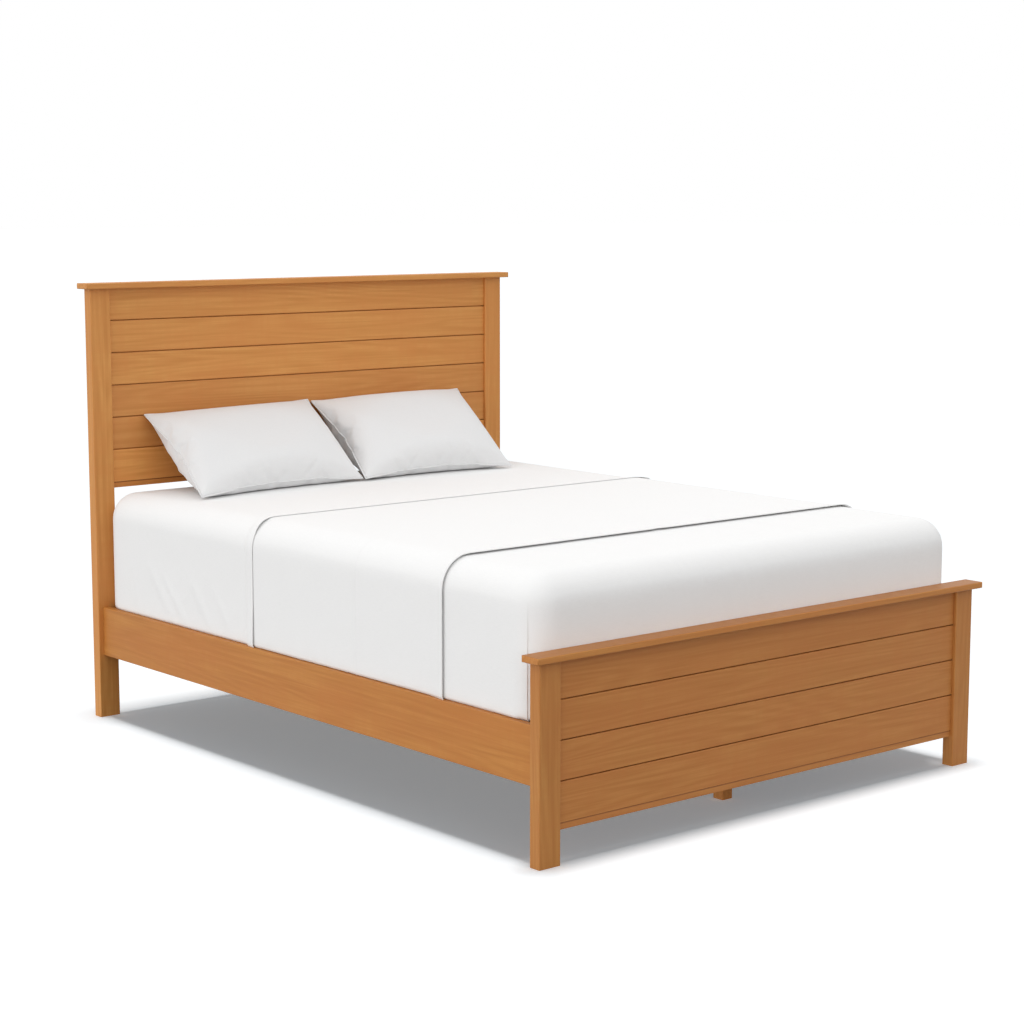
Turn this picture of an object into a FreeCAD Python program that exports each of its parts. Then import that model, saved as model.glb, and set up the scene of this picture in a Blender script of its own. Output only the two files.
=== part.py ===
import FreeCAD, Part
import math
import os

Vector = FreeCAD.Vector

# A queen-size bed with planked ends. Side rails hook into the posts of the headboard and
# the footboard. Slats lie on ledgers and on a centre beam, and carry a foundation, a
# mattress, a bottom sheet, a cover with its head end turned back, a top sheet whose edge is
# turned down over the cover's fold, and two pillows.
# Lengths are in millimetres. X runs across the bed, Y from the foot to the head, Z up.
# The origin is on the floor, under the middle of the whole bed. Left is -X.

# Whole frame
bed_width = 1613.0
clear_length = 2049.5
headboard_height = 1342.0
footboard_height = 524.0

# Posts
post_width = 68.0
post_depth = 37.0
post_edge = 2.0

# Caps
cap_thickness = 17.5
cap_end_overhang = 21.5
cap_front_overhang = 19.0
cap_back_overhang = 6.0
cap_edge = 1.6
dowel_radius = 4.0
dowel_reach = 12.0
dowel_depth = 38.0

# Planked panels
plank_thickness = 18.0
plank_recess = 10.0
plank_gap = 3.0
plank_lap = 10.0
plank_lap_clearance = 1.0
plank_edge = 1.2
housing_depth = 12.0
housing_clearance = 0.2
plank_end_clearance = 1.0
head_plank_count = 6
foot_plank_count = 4
head_panel_bottom = 712.0
foot_panel_bottom = 85.5
bottom_rail_height = 18.0
batten_width = 60.0
head_batten_spread = 410.0

# Side rails, ledgers and slats
rail_height = 151.0
rail_bottom = 195.0
rail_thickness = 22.0
rail_inset = 15.5
rail_edge = 1.6
ledger_height = 25.0
ledger_width = 24.0
ledger_rise = 5.0
ledger_end_gap = 6.0
slat_count = 12
slat_width = 70.0
slat_thickness = 18.0
slat_end_clearance = 2.0
slat_first = 70.0
slat_edge = 2.0

# Hooks that join the rails to the posts
plate_thickness = 2.5
hook_plate_length = 52.0
hook_plate_height = 117.0
hook_levels = (40.0, 90.0)
hook_arm = 14.0
hook_drop = 10.0
hook_throat = 3.2
hook_reach = 9.0
slot_plate_width = 24.0
slot_plate_margin = 4.0
slot_height = 26.0
slot_side_clearance = 0.4
pocket_clearance = 1.0

# Centre beam and its legs
beam_width = 38.0
beam_height = 64.0
hanger_grip = 42.0
hanger_flange_rise = 58.0
hanger_flange_width = 70.0
leg_size = 37.0
leg_edge = 1.6
leg_from_foot = 182.0
leg_from_head = 182.0
bolt_radius = 4.0
bolt_into_leg = 45.0
bolt_into_beam = 42.0

# Screws
screw_shank_radius = 2.2
screw_head_radius = 4.2
screw_head_height = 2.5
plate_screw_length = 17.0
slat_screw_length = 36.0
ledger_screw_length = 38.0
batten_screw_length = 20.0
plate_screw_inset = 9.0
ledger_screws_per_side = 5
screw_clearance = 0.05
# Screws, dowels and bolts are drawn with flat sides, to keep what repeats light
fastener_sides = 6
full_turn = 360.0

# Foundation, mattress and bedding
foundation_side_gap = 13.0
foundation_end_gap = 11.6
foundation_height = 203.0
foundation_edge = 10.0
mattress_over_rail = 4.0
mattress_height = 254.0
mattress_corner = 76.0
mattress_top_edge = 76.0
mattress_bottom_edge = 30.0
sheet_thickness = 1.5
cover_thickness = 2.5
cover_length = 1243.0
turn_back = 887.0
sheet_lap = 15.0
hem_drop = 46.0
tuck_gap = 0.9
tuck_end_inset = 7.5
foot_gap = 2.5
head_gap = 2.3

# Pillows: the corner tips of each, first the lower edge and then the upper edge, from the
# left to the right. The sides draw in between the tips by a share of the half width or
# height, and each face rises to a crown. A face has this many columns and rows of facets.
pillow_tips = {
    "left": ((-655.0, 663.0, 714.0), (-15.0, 728.0, 714.0),
             (-626.0, 1034.0, 932.0), (-13.0, 1034.0, 944.0)),
    "right": ((-12.0, 716.0, 714.0), (570.0, 691.0, 714.0),
              (2.0, 1034.0, 938.0), (614.0, 1034.0, 945.0)),
}
pillow_crown = 88.0
pillow_draw_share = 0.05
pillow_columns = 14
pillow_rows = 10

# Soft pieces lie this far from what carries them
soft_clearance = 0.3
# Cuts run this far past the faces that they open
overrun = 5.0
# Edges this close to a height lie at it, and edges this close to an axis run along it
level_tolerance = 0.01
slope_tolerance_share = 1e-6
# Screws through a hook plate: shares of its length from the rail's end, and of its height
plate_screw_shares = ((0.75, -1), (0.5, 0), (0.75, 1))

# Places worked out from the sizes above
total_length = cap_front_overhang + post_depth + clear_length + post_depth + cap_back_overhang
foot_front = cap_front_overhang - total_length / 2
foot_inner = foot_front + post_depth
head_front = foot_inner + clear_length
head_panel_front = head_front + plank_recess
post_outer = bed_width / 2
post_inner = post_outer - post_width
rail_outer = post_outer - rail_inset
rail_inner = rail_outer - rail_thickness
rail_top = rail_bottom + rail_height
plate_bottom = rail_bottom + (rail_height - hook_plate_height) / 2
plate_middle = rail_inner - plate_thickness / 2
slat_bottom = rail_bottom + ledger_rise + ledger_height
slat_top = slat_bottom + slat_thickness
beam_bottom = slat_bottom - beam_height
batten_thickness = post_depth - plank_recess - plank_thickness
ledger_start = foot_inner + hook_plate_length + ledger_end_gap
ledger_end = head_front - hook_plate_length - ledger_end_gap
foundation_bottom = slat_top + soft_clearance
mattress_bottom = foundation_bottom + foundation_height + soft_clearance
mattress_top = mattress_bottom + mattress_height

foundation_half = rail_inner - foundation_side_gap
mattress_half = rail_inner + mattress_over_rail
# The centre of the upright corners of the mattress and of all that lies round it
corner_centre = mattress_half - mattress_corner
# The cover's drop steps in on the rails, and the bottom sheet's drop on the cover's
cover_shelf = rail_top + soft_clearance
sheet_shelf = cover_shelf + cover_thickness + soft_clearance
# The bedding lies in layers: how far each face stands out from the mattress
sheet_inner = soft_clearance
sheet_outer = sheet_inner + sheet_thickness
cover_inner = sheet_outer + soft_clearance
cover_outer = cover_inner + cover_thickness
band_outer = cover_outer + cover_thickness
top_sheet_inner = sheet_outer + soft_clearance
top_sheet_outer = top_sheet_inner + sheet_thickness
lap_inner = band_outer + soft_clearance
lap_outer = lap_inner + sheet_thickness
mattress_foot = foot_inner + cap_back_overhang + foot_gap + cover_outer
mattress_head = head_panel_front - head_gap - top_sheet_outer
cover_fold = mattress_foot - cover_outer + cover_length

SIDES = (("left", -1), ("right", 1))


def box(xs, ys, zs):
    """A block between two places on each axis, given in any order."""
    low = Vector(min(xs), min(ys), min(zs))
    return Part.makeBox(abs(xs[1] - xs[0]), abs(ys[1] - ys[0]), abs(zs[1] - zs[0]), low)


def edges_along(solid, axis):
    """The solid's straight edges that run along one axis."""
    chosen = []
    for edge in solid.Edges:
        if edge.Curve.TypeId != "Part::GeomLine":
            continue
        if edge.Curve.Direction.cross(axis).Length < slope_tolerance_share:
            chosen.append(edge)
    return chosen


def eased(solid, size, axis):
    """The solid with a small bevel on the edges along one axis."""
    return solid.makeChamfer(size, edges_along(solid, axis))


def prism(points, xs):
    """An outline of (y, z) points, extruded along X."""
    corners = [Vector(min(xs), y, z) for y, z in points]
    outline = Part.makePolygon(corners + corners[:1])
    return Part.Face(outline).extrude(Vector(abs(xs[1] - xs[0]), 0, 0))


def flat_sided(start, direction, profile):
    """A fastener from its profile of (distance along, radius), along X, Y or Z."""
    across = Vector(direction.y, direction.z, direction.x)
    rings = []
    for along, radius in profile:
        ring = []
        for i in range(fastener_sides + 1):
            turn = FreeCAD.Rotation(direction, full_turn * i / fastener_sides)
            ring.append(start + direction * along + turn.multVec(across * radius))
        rings.append(ring)
    outlines = [rings[0], rings[-1]]
    for ring, following in zip(rings, rings[1:]):
        for i in range(fastener_sides):
            outlines.append([ring[i], ring[i + 1], following[i + 1], following[i], ring[i]])
    return solid_from(outlines)


def solid_from(outlines):
    """A solid closed by a flat face inside each outline."""
    return Part.Solid(Part.Shell([Part.Face(Part.makePolygon(points)) for points in outlines]))


def rod(start, radius, length):
    """An upright rod from the middle of its lower end."""
    return flat_sided(start, Vector(0, 0, 1), ((0, radius), (length, radius)))


def screw(head, direction, length, grown=0.0):
    """A countersunk screw from the middle of its head; grown makes the hole for it."""
    shank = screw_shank_radius + grown
    profile = ((0, screw_head_radius + grown), (screw_head_height, shank), (length + grown, shank))
    return flat_sided(head, direction, profile)


def drilled(solid, screws):
    """The solid with a countersunk hole for each (head, direction, length)."""
    for head, direction, length in screws:
        solid = solid.cut(screw(head, direction, length, screw_clearance))
    return solid


def screw_group(screws):
    """One solid for each (head, direction, length)."""
    return Part.makeCompound([screw(*place) for place in screws])


# Each end of a side rail: the face of the post that it meets, and the way into the post
RAIL_ENDS = ((foot_inner, -1), (head_front, 1))


def post_corners():
    """Every place where a rail meets a post: its side, the post's face and the way in."""
    return [(side, face, inward) for name, side in SIDES for face, inward in RAIL_ENDS]


def hook_plate_screws():
    """Three screws through each hook plate, out into the rail."""
    places = []
    for side, face, inward in post_corners():
        for along_share, up_share in plate_screw_shares:
            rise = hook_plate_height / 2 + up_share * (hook_plate_height / 2 - plate_screw_inset)
            y = face - inward * hook_plate_length * along_share
            head = Vector(side * (rail_inner - plate_thickness), y, plate_bottom + rise)
            places.append((head, Vector(side, 0, 0), plate_screw_length))
    return places


def slot_plate_screws():
    """Two screws through each slot plate, above and below its slots."""
    places = []
    for side, face, inward in post_corners():
        for z in (plate_bottom + slot_plate_margin,
                  plate_bottom + hook_plate_height - slot_plate_margin):
            places.append((Vector(side * plate_middle, face, z), Vector(0, inward, 0),
                           plate_screw_length))
    return places


def hanger_screws():
    """Two screws above the beam through each hanger's flange."""
    places = []
    for face, inward in ((foot_inner, -1), (head_panel_front, 1)):
        for side in (-1, 1):
            head = Vector(side * hanger_flange_width / 4, face - inward * plate_thickness,
                          slat_bottom + hanger_flange_rise - plate_screw_inset)
            places.append((head, Vector(0, inward, 0), plate_screw_length))
    return places


def slat_centres():
    """Where the slats lie along the bed, evenly from the foot to the head."""
    first = foot_inner + slat_first + slat_width / 2
    last = head_front - slat_first - slat_width / 2
    return [first + (last - first) * i / (slat_count - 1) for i in range(slat_count)]


def slat_screws(centres):
    """One screw down through each end of each slat into its ledger."""
    reach = rail_inner - ledger_width / 2
    return [(Vector(side * reach, y, slat_top), Vector(0, 0, -1), slat_screw_length)
            for y in centres for name, side in SIDES]


def ledger_screws():
    """Screws from the middle of each ledger's inner face, out into the rail."""
    z = slat_bottom - ledger_height / 2
    places = []
    for name, side in SIDES:
        for i in range(ledger_screws_per_side):
            y = ledger_start + (ledger_end - ledger_start) * (i + 0.5) / ledger_screws_per_side
            head = Vector(side * (rail_inner - ledger_width), y, z)
            places.append((head, Vector(side, 0, 0), ledger_screw_length))
    return places


def batten_places():
    """Each batten: its name, its place across the bed and the end that it backs."""
    return (("head_batten_left", -head_batten_spread, "head"),
            ("head_batten_right", head_batten_spread, "head"),
            ("foot_batten", 0.0, "foot"))


# Each end of the bed: the front of its posts, its height, its panel and its planks
ENDS = {
    "head": (head_front, headboard_height, head_panel_bottom, head_plank_count),
    "foot": (foot_front, footboard_height, foot_panel_bottom, foot_plank_count),
}


def plank_face(end):
    """The height of one plank's face in the panel of this end."""
    front, height, bottom, count = ENDS[end]
    return (height - cap_thickness - bottom - bottom_rail_height) / count


def batten_screws():
    """One screw through each batten into the middle of each plank."""
    places = []
    for name, x, end in batten_places():
        front, height, bottom, count = ENDS[end]
        for i in range(count):
            z = height - cap_thickness - (i + 0.5) * plank_face(end)
            head = Vector(x, front + post_depth, z)
            places.append((head, Vector(0, -1, 0), batten_screw_length))
    return places


def dowel(side, end, grown=0.0):
    """The dowel that holds a cap on a post; grown makes the hole for it."""
    front, height, bottom, count = ENDS[end]
    low = Vector(side * (post_outer - post_width / 2), front + post_depth / 2,
                 height - cap_thickness - dowel_depth - grown)
    return rod(low, dowel_radius + grown, dowel_depth + dowel_reach + 2 * grown)


def hook_pocket(side, face, inward, level):
    """The hollow in a post behind one slot, deep enough for the hook."""
    half = plate_thickness / 2 + pocket_clearance
    low = plate_bottom + level - hook_drop - pocket_clearance
    high = plate_bottom + level + slot_height + pocket_clearance
    depth = face + inward * (hook_reach + pocket_clearance)
    return box((side * plate_middle - half, side * plate_middle + half), (face, depth), (low, high))


def slot_plate_blank(side, face, inward):
    """The slot plate's outline, let into the post flush with its face."""
    half = slot_plate_width / 2
    low = plate_bottom - 2 * slot_plate_margin
    high = plate_bottom + hook_plate_height + 2 * slot_plate_margin
    return box((side * plate_middle - half, side * plate_middle + half),
               (face, face + inward * plate_thickness), (low, high))


def slot_plate(side, face, inward):
    """A steel plate in the post, with a slot for each hook of the rail."""
    plate = slot_plate_blank(side, face, inward)
    half = plate_thickness / 2 + slot_side_clearance
    for level in hook_levels:
        low = plate_bottom + level
        plate = plate.cut(box((side * plate_middle - half, side * plate_middle + half),
                              (face - inward * overrun, face + inward * overrun),
                              (low, low + slot_height)))
    return plate


def hook_plate(side, face, inward):
    """A steel plate on the rail's inner face, with two hooks that reach into the post."""
    outline = [(-hook_plate_length, 0), (0, 0)]
    for level in hook_levels:
        outline += [(0, level), (hook_throat, level), (hook_throat, level - hook_drop),
                    (hook_reach, level - hook_drop), (hook_reach, level + hook_arm),
                    (0, level + hook_arm)]
    outline += [(0, hook_plate_height), (-hook_plate_length, hook_plate_height)]
    points = [(face + inward * reach, plate_bottom + rise) for reach, rise in outline]
    return prism(points, (side * rail_inner, side * (rail_inner - plate_thickness)))


def panel_span(front):
    """The front and back of a panel that stands in posts with this front."""
    return front + plank_recess, front + plank_recess + plank_thickness


def post(side, end):
    """A post with the housing for its panel, and the hooks' pockets behind a slot plate."""
    front, height, bottom, count = ENDS[end]
    top = height - cap_thickness
    solid = eased(box((side * post_inner, side * post_outer), (front, front + post_depth),
                      (0, top)), post_edge, Vector(0, 0, 1))
    panel_front, panel_back = panel_span(front)
    depths = (panel_front - housing_clearance, panel_back + housing_clearance)
    reach = (side * (post_inner - overrun), side * (post_inner + housing_depth))
    solid = solid.cut(box(reach, depths, (bottom - housing_clearance, top + overrun)))
    if end == "head":
        solid = solid.cut(box(reach, depths, (rail_bottom - housing_clearance,
                                              rail_top + housing_clearance)))
    face, inward = RAIL_ENDS[1] if end == "head" else RAIL_ENDS[0]
    solid = solid.cut(slot_plate_blank(side, face, inward))
    for level in hook_levels:
        solid = solid.cut(hook_pocket(side, face, inward, level))
    solid = solid.cut(dowel(side, end, screw_clearance))
    here = [s for s in slot_plate_screws() if s[0].x * side > 0 and s[0].y == face]
    return drilled(solid, here)


def cap(end):
    """The flat cap that lies on the posts and the top plank, with its edges eased."""
    front, height, bottom, count = ENDS[end]
    half = post_outer + cap_end_overhang
    solid = box((-half, half), (front - cap_front_overhang, front + post_depth + cap_back_overhang),
                (height - cap_thickness, height))
    solid = solid.makeChamfer(cap_edge, solid.Edges)
    for name, side in SIDES:
        solid = solid.cut(dowel(side, end, screw_clearance))
    return solid


def panel_reach():
    """How far a plank reaches each way from the middle, into the posts' housings."""
    return post_inner + housing_depth - plank_end_clearance


def plank(end, index):
    """A shiplap plank. Its back lap stands up behind the plank above, a gap below its lip."""
    front, height, bottom, count = ENDS[end]
    y0, y1 = panel_span(front)
    middle = (y0 + y1) / 2
    face = plank_face(end)
    top = height - cap_thickness - index * face
    low = top - face
    if index == 0:
        outline = [(y0, top), (y1, top)]
    else:
        outline = [(y0 + plank_edge, top), (middle, top), (middle, top + plank_lap),
                   (y1, top + plank_lap)]
    if index == count - 1:
        outline += [(y1, low), (y0, low)]
    else:
        lap_top = low + plank_lap + plank_lap_clearance
        lip = low + plank_gap
        outline += [(y1, lap_top), (middle, lap_top), (middle, lip), (y0 + plank_edge, lip),
                    (y0, lip + plank_edge)]
    if index > 0:
        outline.append((y0, top - plank_edge))
    solid = prism(outline, (-panel_reach(), panel_reach()))
    screws = [s for s in batten_screws() if s[0].y == front + post_depth]
    if end == "foot":
        screws += hanger_screws()
    return drilled(solid, [s for s in screws if s[1].y < 0 and low < s[0].z < top])


def bottom_rail(end):
    """The thin rail that closes the lower edge of a panel."""
    front, height, bottom, count = ENDS[end]
    return box((-panel_reach(), panel_reach()), panel_span(front),
               (bottom, bottom + bottom_rail_height))


def stretcher():
    """The cross rail between the head posts, behind the foundation, at the rails' height."""
    solid = box((-panel_reach(), panel_reach()), panel_span(head_front), (rail_bottom, rail_top))
    return drilled(solid, [s for s in hanger_screws() if s[1].y > 0])


def batten(x, end):
    """An upright batten that ties the planks together at the back of a panel."""
    front, height, bottom, count = ENDS[end]
    back = front + post_depth
    half = batten_width / 2
    solid = box((x - half, x + half), (back - batten_thickness, back),
                (bottom, height - cap_thickness))
    screws = [s for s in batten_screws() if s[0].x == x and s[0].y == back]
    if end == "foot":
        screws += [s for s in hanger_screws() if s[1].y < 0]
    return drilled(solid, screws)


def side_rail(side):
    """A side rail between the posts, with its long edges eased."""
    solid = eased(box((side * rail_inner, side * rail_outer), (foot_inner, head_front),
                      (rail_bottom, rail_top)), rail_edge, Vector(0, 1, 0))
    here = [s for s in hook_plate_screws() + ledger_screws() if s[0].x * side > 0]
    return drilled(solid, here)


def ledger(side):
    """The strip along a rail's inner face that carries the slats."""
    solid = box((side * (rail_inner - ledger_width), side * rail_inner),
                (ledger_start, ledger_end), (slat_bottom - ledger_height, slat_bottom))
    screws = slat_screws(slat_centres()) + ledger_screws()
    return drilled(solid, [s for s in screws if s[0].x * side > 0])


def slat(y):
    """A slat across the bed, from ledger to ledger over the centre beam."""
    half = rail_inner - slat_end_clearance
    solid = eased(box((-half, half), (y - slat_width / 2, y + slat_width / 2),
                      (slat_bottom, slat_top)), slat_edge, Vector(1, 0, 0))
    return drilled(solid, slat_screws([y]))


def leg_places():
    """Where the centre legs stand along the bed."""
    first = foot_front + leg_from_foot
    last = head_front + post_depth - leg_from_head
    return (("centre_leg_foot", first), ("centre_leg_middle", (first + last) / 2),
            ("centre_leg_head", last))


def leg_bolt(y, grown=0.0):
    """The bolt that joins a centre leg to the beam; grown makes the hole for it."""
    low = Vector(0, y, beam_bottom - bolt_into_leg - grown)
    return rod(low, bolt_radius + grown, bolt_into_leg + bolt_into_beam + 2 * grown)


def centre_beam():
    """The beam under the middle of the slats, from hanger to hanger."""
    half = beam_width / 2
    solid = box((-half, half), (foot_inner + plate_thickness, head_panel_front - plate_thickness),
                (beam_bottom, slat_bottom))
    for name, y in leg_places():
        solid = solid.cut(leg_bolt(y, screw_clearance))
    return solid


def centre_leg(y):
    """A square leg from the floor to the beam."""
    half = leg_size / 2
    solid = eased(box((-half, half), (y - half, y + half), (0, beam_bottom)),
                  leg_edge, Vector(0, 0, 1))
    return solid.cut(leg_bolt(y, screw_clearance))


def beam_hanger(face, inward):
    """A steel hanger: a flange on the panel and a cradle round the end of the beam."""
    outer = beam_width / 2 + plate_thickness
    grip = (face, face - inward * hanger_grip)
    cradle = box((-outer, outer), grip, (beam_bottom - plate_thickness, slat_bottom - slat_edge))
    flange = box((-hanger_flange_width / 2, hanger_flange_width / 2),
                 (face, face - inward * plate_thickness),
                 (slat_bottom - beam_height / 2, slat_bottom + hanger_flange_rise))
    room = box((-beam_width / 2, beam_width / 2),
               (face - inward * plate_thickness, face - inward * (hanger_grip + overrun)),
               (beam_bottom, slat_bottom + overrun))
    solid = cradle.cut(room).fuse(flange).removeSplitter()
    return drilled(solid, [s for s in hanger_screws() if s[1].y == inward])


def rounded_block(half, ys, zs):
    """A block this far out each way, its upright corners round the bedding's own centres."""
    solid = box((-half, half), ys, zs)
    return solid.makeFillet(half - corner_centre, edges_along(solid, Vector(0, 0, 1)))


def level_edges(solid, z):
    """The solid's edges that lie at one height."""
    return [e for e in solid.Edges
            if max(abs(e.BoundBox.ZMin - z), abs(e.BoundBox.ZMax - z)) < level_tolerance]


def foundation():
    """The padded foundation that lies on the slats, inside the rails."""
    ys = (mattress_foot + foundation_end_gap, mattress_head - foundation_end_gap)
    top = foundation_bottom + foundation_height
    solid = rounded_block(foundation_half, ys, (foundation_bottom, top))
    edges = level_edges(solid, top) + level_edges(solid, foundation_bottom)
    return solid.makeChamfer(foundation_edge, edges)


def mattress_form(growth, bottom):
    """The mattress's crowned form, grown by one distance, from this height up."""
    top = mattress_top + growth
    ys = (mattress_foot - growth, mattress_head + growth)
    solid = rounded_block(mattress_half + growth, ys, (bottom, top))
    return solid.makeFillet(mattress_top_edge + growth, level_edges(solid, top))


def mattress():
    """The mattress, with a rounded top border and round corners."""
    solid = mattress_form(0, mattress_bottom)
    return solid.makeChamfer(mattress_bottom_edge, level_edges(solid, mattress_bottom))


def tuck_form(half, growth, zs):
    """The part of a drop that hangs between the rails and the foundation."""
    start = mattress_foot - growth + tuck_end_inset
    end = mattress_head + growth - tuck_end_inset
    return rounded_block(half, (start, end), zs)


def draped(outer_form, shelf, inner, outer, tuck):
    """A sheet over the mattress whose drop steps in behind the rails, open underneath."""
    thickness = outer - inner
    hem = rail_top - hem_drop
    solid = outer_form.cut(mattress_form(inner, shelf + thickness))
    solid = solid.fuse(tuck_form(tuck, outer, (hem, shelf + thickness)))
    room = tuck_form(tuck - thickness, inner, (hem - overrun, shelf + thickness + overrun))
    return solid.cut(room).removeSplitter()


def bottom_sheet():
    """The bottom sheet over the whole mattress, its drop tucked behind the rails."""
    tuck = foundation_half + tuck_gap + sheet_thickness
    outer = mattress_form(sheet_outer, sheet_shelf)
    return draped(outer, sheet_shelf, sheet_inner, sheet_outer, tuck)


def across_bed(start, end):
    """All that lies between two places along the bed."""
    return box((-bed_width, bed_width), (start, end), (0, headboard_height))


def cover():
    """The cover from the foot, its head end turned back as a second layer on top."""
    tuck = foundation_half + 2 * tuck_gap + sheet_thickness + cover_thickness
    band = mattress_form(band_outer, cover_shelf)
    outer = mattress_form(cover_outer, cover_shelf)
    outer = outer.fuse(band.common(across_bed(cover_fold - turn_back, cover_fold)))
    solid = draped(outer, cover_shelf, cover_inner, cover_outer, tuck)
    return solid.cut(across_bed(cover_fold, cover_fold + total_length)).removeSplitter()


def top_sheet():
    """The top sheet over the head end, its free edge lapped over the cover's fold."""
    tuck = foundation_half + 2 * (tuck_gap + sheet_thickness)
    start = cover_fold + soft_clearance
    outer = mattress_form(top_sheet_outer, cover_shelf)
    solid = draped(outer, cover_shelf, top_sheet_inner, top_sheet_outer, tuck)
    solid = solid.common(across_bed(start, start + total_length))
    raised = mattress_form(lap_outer, cover_shelf)
    raised = raised.common(across_bed(cover_fold - sheet_lap, start + sheet_thickness))
    under_lap = mattress_form(lap_inner, cover_shelf - overrun)
    raised = raised.cut(under_lap.common(across_bed(cover_fold - sheet_lap - overrun, start)))
    raised = raised.cut(mattress_form(top_sheet_inner, cover_shelf - overrun))
    return solid.fuse(raised).removeSplitter()


def pillow_point(tips, across, up, face):
    """A point of a pillow's face; across and up run from -1 to 1 between its edges."""
    drawn_across = across * (1 - pillow_draw_share * (1 - up ** 2))
    drawn_up = up * (1 - pillow_draw_share * (1 - across ** 2))
    lower = tips[0] + (tips[1] - tips[0]) * ((1 + drawn_across) / 2)
    upper = tips[2] + (tips[3] - tips[2]) * ((1 + drawn_across) / 2)
    out = (tips[1] - tips[0]).cross(tips[2] - tips[0]).normalize()
    rise = face * pillow_crown * math.sqrt((1 - across ** 2) * (1 - up ** 2))
    return lower + (upper - lower) * ((1 + drawn_up) / 2) + out * rise


def pillow(name):
    """A plump pillow that leans back, its two crowned faces joined along a sharp edge."""
    tips = [Vector(*tip) for tip in pillow_tips[name]]
    columns = [math.sin(math.pi * (i / pillow_columns - 0.5)) for i in range(pillow_columns + 1)]
    rows = [math.sin(math.pi * (i / pillow_rows - 0.5)) for i in range(pillow_rows + 1)]
    outlines = []
    for left, right in zip(columns, columns[1:]):
        for low, high in zip(rows, rows[1:]):
            for face in (-1, 1):
                places = [(left, low), (right, low), (right, high), (left, high)][::face]
                a, b, c, d = [pillow_point(tips, across, up, face) for across, up in places]
                outlines += [[a, b, c, a], [a, c, d, a]]
    solid = solid_from(outlines)
    extent = solid.BoundBox
    seat = mattress_top + top_sheet_outer + soft_clearance
    solid.translate(Vector(0, head_panel_front - soft_clearance - extent.YMax, seat - extent.ZMin))
    return solid


def headboard_and_footboard():
    """The posts, caps, planks, rails and battens of the two ends."""
    pieces = {}
    for end, (front, height, bottom, count) in ENDS.items():
        for name, side in SIDES:
            pieces[f"{end}_post_{name}"] = post(side, end)
        pieces[f"{end}_cap"] = cap(end)
        for index in range(count):
            pieces[f"{end}_plank_{index + 1}"] = plank(end, index)
        pieces[f"{end}_bottom_rail"] = bottom_rail(end)
    for name, x, end in batten_places():
        pieces[name] = batten(x, end)
    pieces["head_stretcher"] = stretcher()
    return pieces


def rails_and_slats():
    """The side rails, what they carry and what holds them."""
    pieces = {}
    for name, side in SIDES:
        pieces[f"side_rail_{name}"] = side_rail(side)
        pieces[f"ledger_{name}"] = ledger(side)
    for index, y in enumerate(slat_centres()):
        pieces[f"slat_{index + 1:02d}"] = slat(y)
    pieces["centre_beam"] = centre_beam()
    for name, y in leg_places():
        pieces[name] = centre_leg(y)
    return pieces


def hardware():
    """The steel plates and the fasteners, each kind as one group of separate solids."""
    hooks = [drilled(hook_plate(*corner), hook_plate_screws()) for corner in post_corners()]
    slots = [drilled(slot_plate(*corner), slot_plate_screws()) for corner in post_corners()]
    hangers = [beam_hanger(foot_inner, -1), beam_hanger(head_panel_front, 1)]
    dowels = [dowel(side, end) for name, side in SIDES for end in ENDS]
    bolts = [leg_bolt(y) for name, y in leg_places()]
    plate_screws = hook_plate_screws() + slot_plate_screws() + hanger_screws()
    return {
        "hook_plates": Part.makeCompound(hooks),
        "slot_plates": Part.makeCompound(slots),
        "beam_hangers": Part.makeCompound(hangers),
        "cap_dowels": Part.makeCompound(dowels),
        "leg_bolts": Part.makeCompound(bolts),
        "plate_screws": screw_group(plate_screws),
        "slat_screws": screw_group(slat_screws(slat_centres())),
        "ledger_screws": screw_group(ledger_screws()),
        "batten_screws": screw_group(batten_screws()),
    }


def bedding():
    """The soft pieces."""
    return {
        "foundation": foundation(),
        "mattress": mattress(),
        "bottom_sheet": bottom_sheet(),
        "cover": cover(),
        "top_sheet": top_sheet(),
        "pillow_left": pillow("left"),
        "pillow_right": pillow("right"),
    }


def main():
    os.makedirs("parts", exist_ok=True)
    pieces = {}
    for group in (headboard_and_footboard, rails_and_slats, hardware, bedding):
        pieces.update(group())
    for name, shape in pieces.items():
        shape.exportStep(f"parts/{name}.step")


main()
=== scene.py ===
import math

import bmesh
import bpy
import numpy as np
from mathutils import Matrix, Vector


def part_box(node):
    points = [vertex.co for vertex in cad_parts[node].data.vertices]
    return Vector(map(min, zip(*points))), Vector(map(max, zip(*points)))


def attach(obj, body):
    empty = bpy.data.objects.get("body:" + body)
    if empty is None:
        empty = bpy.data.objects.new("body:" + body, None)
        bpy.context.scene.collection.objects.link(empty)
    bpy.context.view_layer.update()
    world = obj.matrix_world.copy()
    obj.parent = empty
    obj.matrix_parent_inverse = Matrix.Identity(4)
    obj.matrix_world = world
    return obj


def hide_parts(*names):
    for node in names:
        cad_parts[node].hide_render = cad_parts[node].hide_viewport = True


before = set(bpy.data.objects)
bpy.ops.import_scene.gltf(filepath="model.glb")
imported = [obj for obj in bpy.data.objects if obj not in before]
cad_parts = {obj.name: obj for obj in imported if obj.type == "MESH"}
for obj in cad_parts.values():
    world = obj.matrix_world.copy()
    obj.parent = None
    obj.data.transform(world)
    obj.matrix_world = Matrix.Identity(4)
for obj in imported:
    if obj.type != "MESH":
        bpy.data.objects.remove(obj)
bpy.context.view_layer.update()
rail_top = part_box("side_rail_left")[1].z

# A made-up queen bed. Lengths are in metres, in the frame's own axes: X runs across the bed,
# Y from the foot to the head, Z up.

# Camera
camera_place = (-4.17778, -4.96873, 1.59619)
camera_tilt = math.radians(81.986)
camera_turn = math.radians(-40.016)
camera_lens = 78.31

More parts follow.
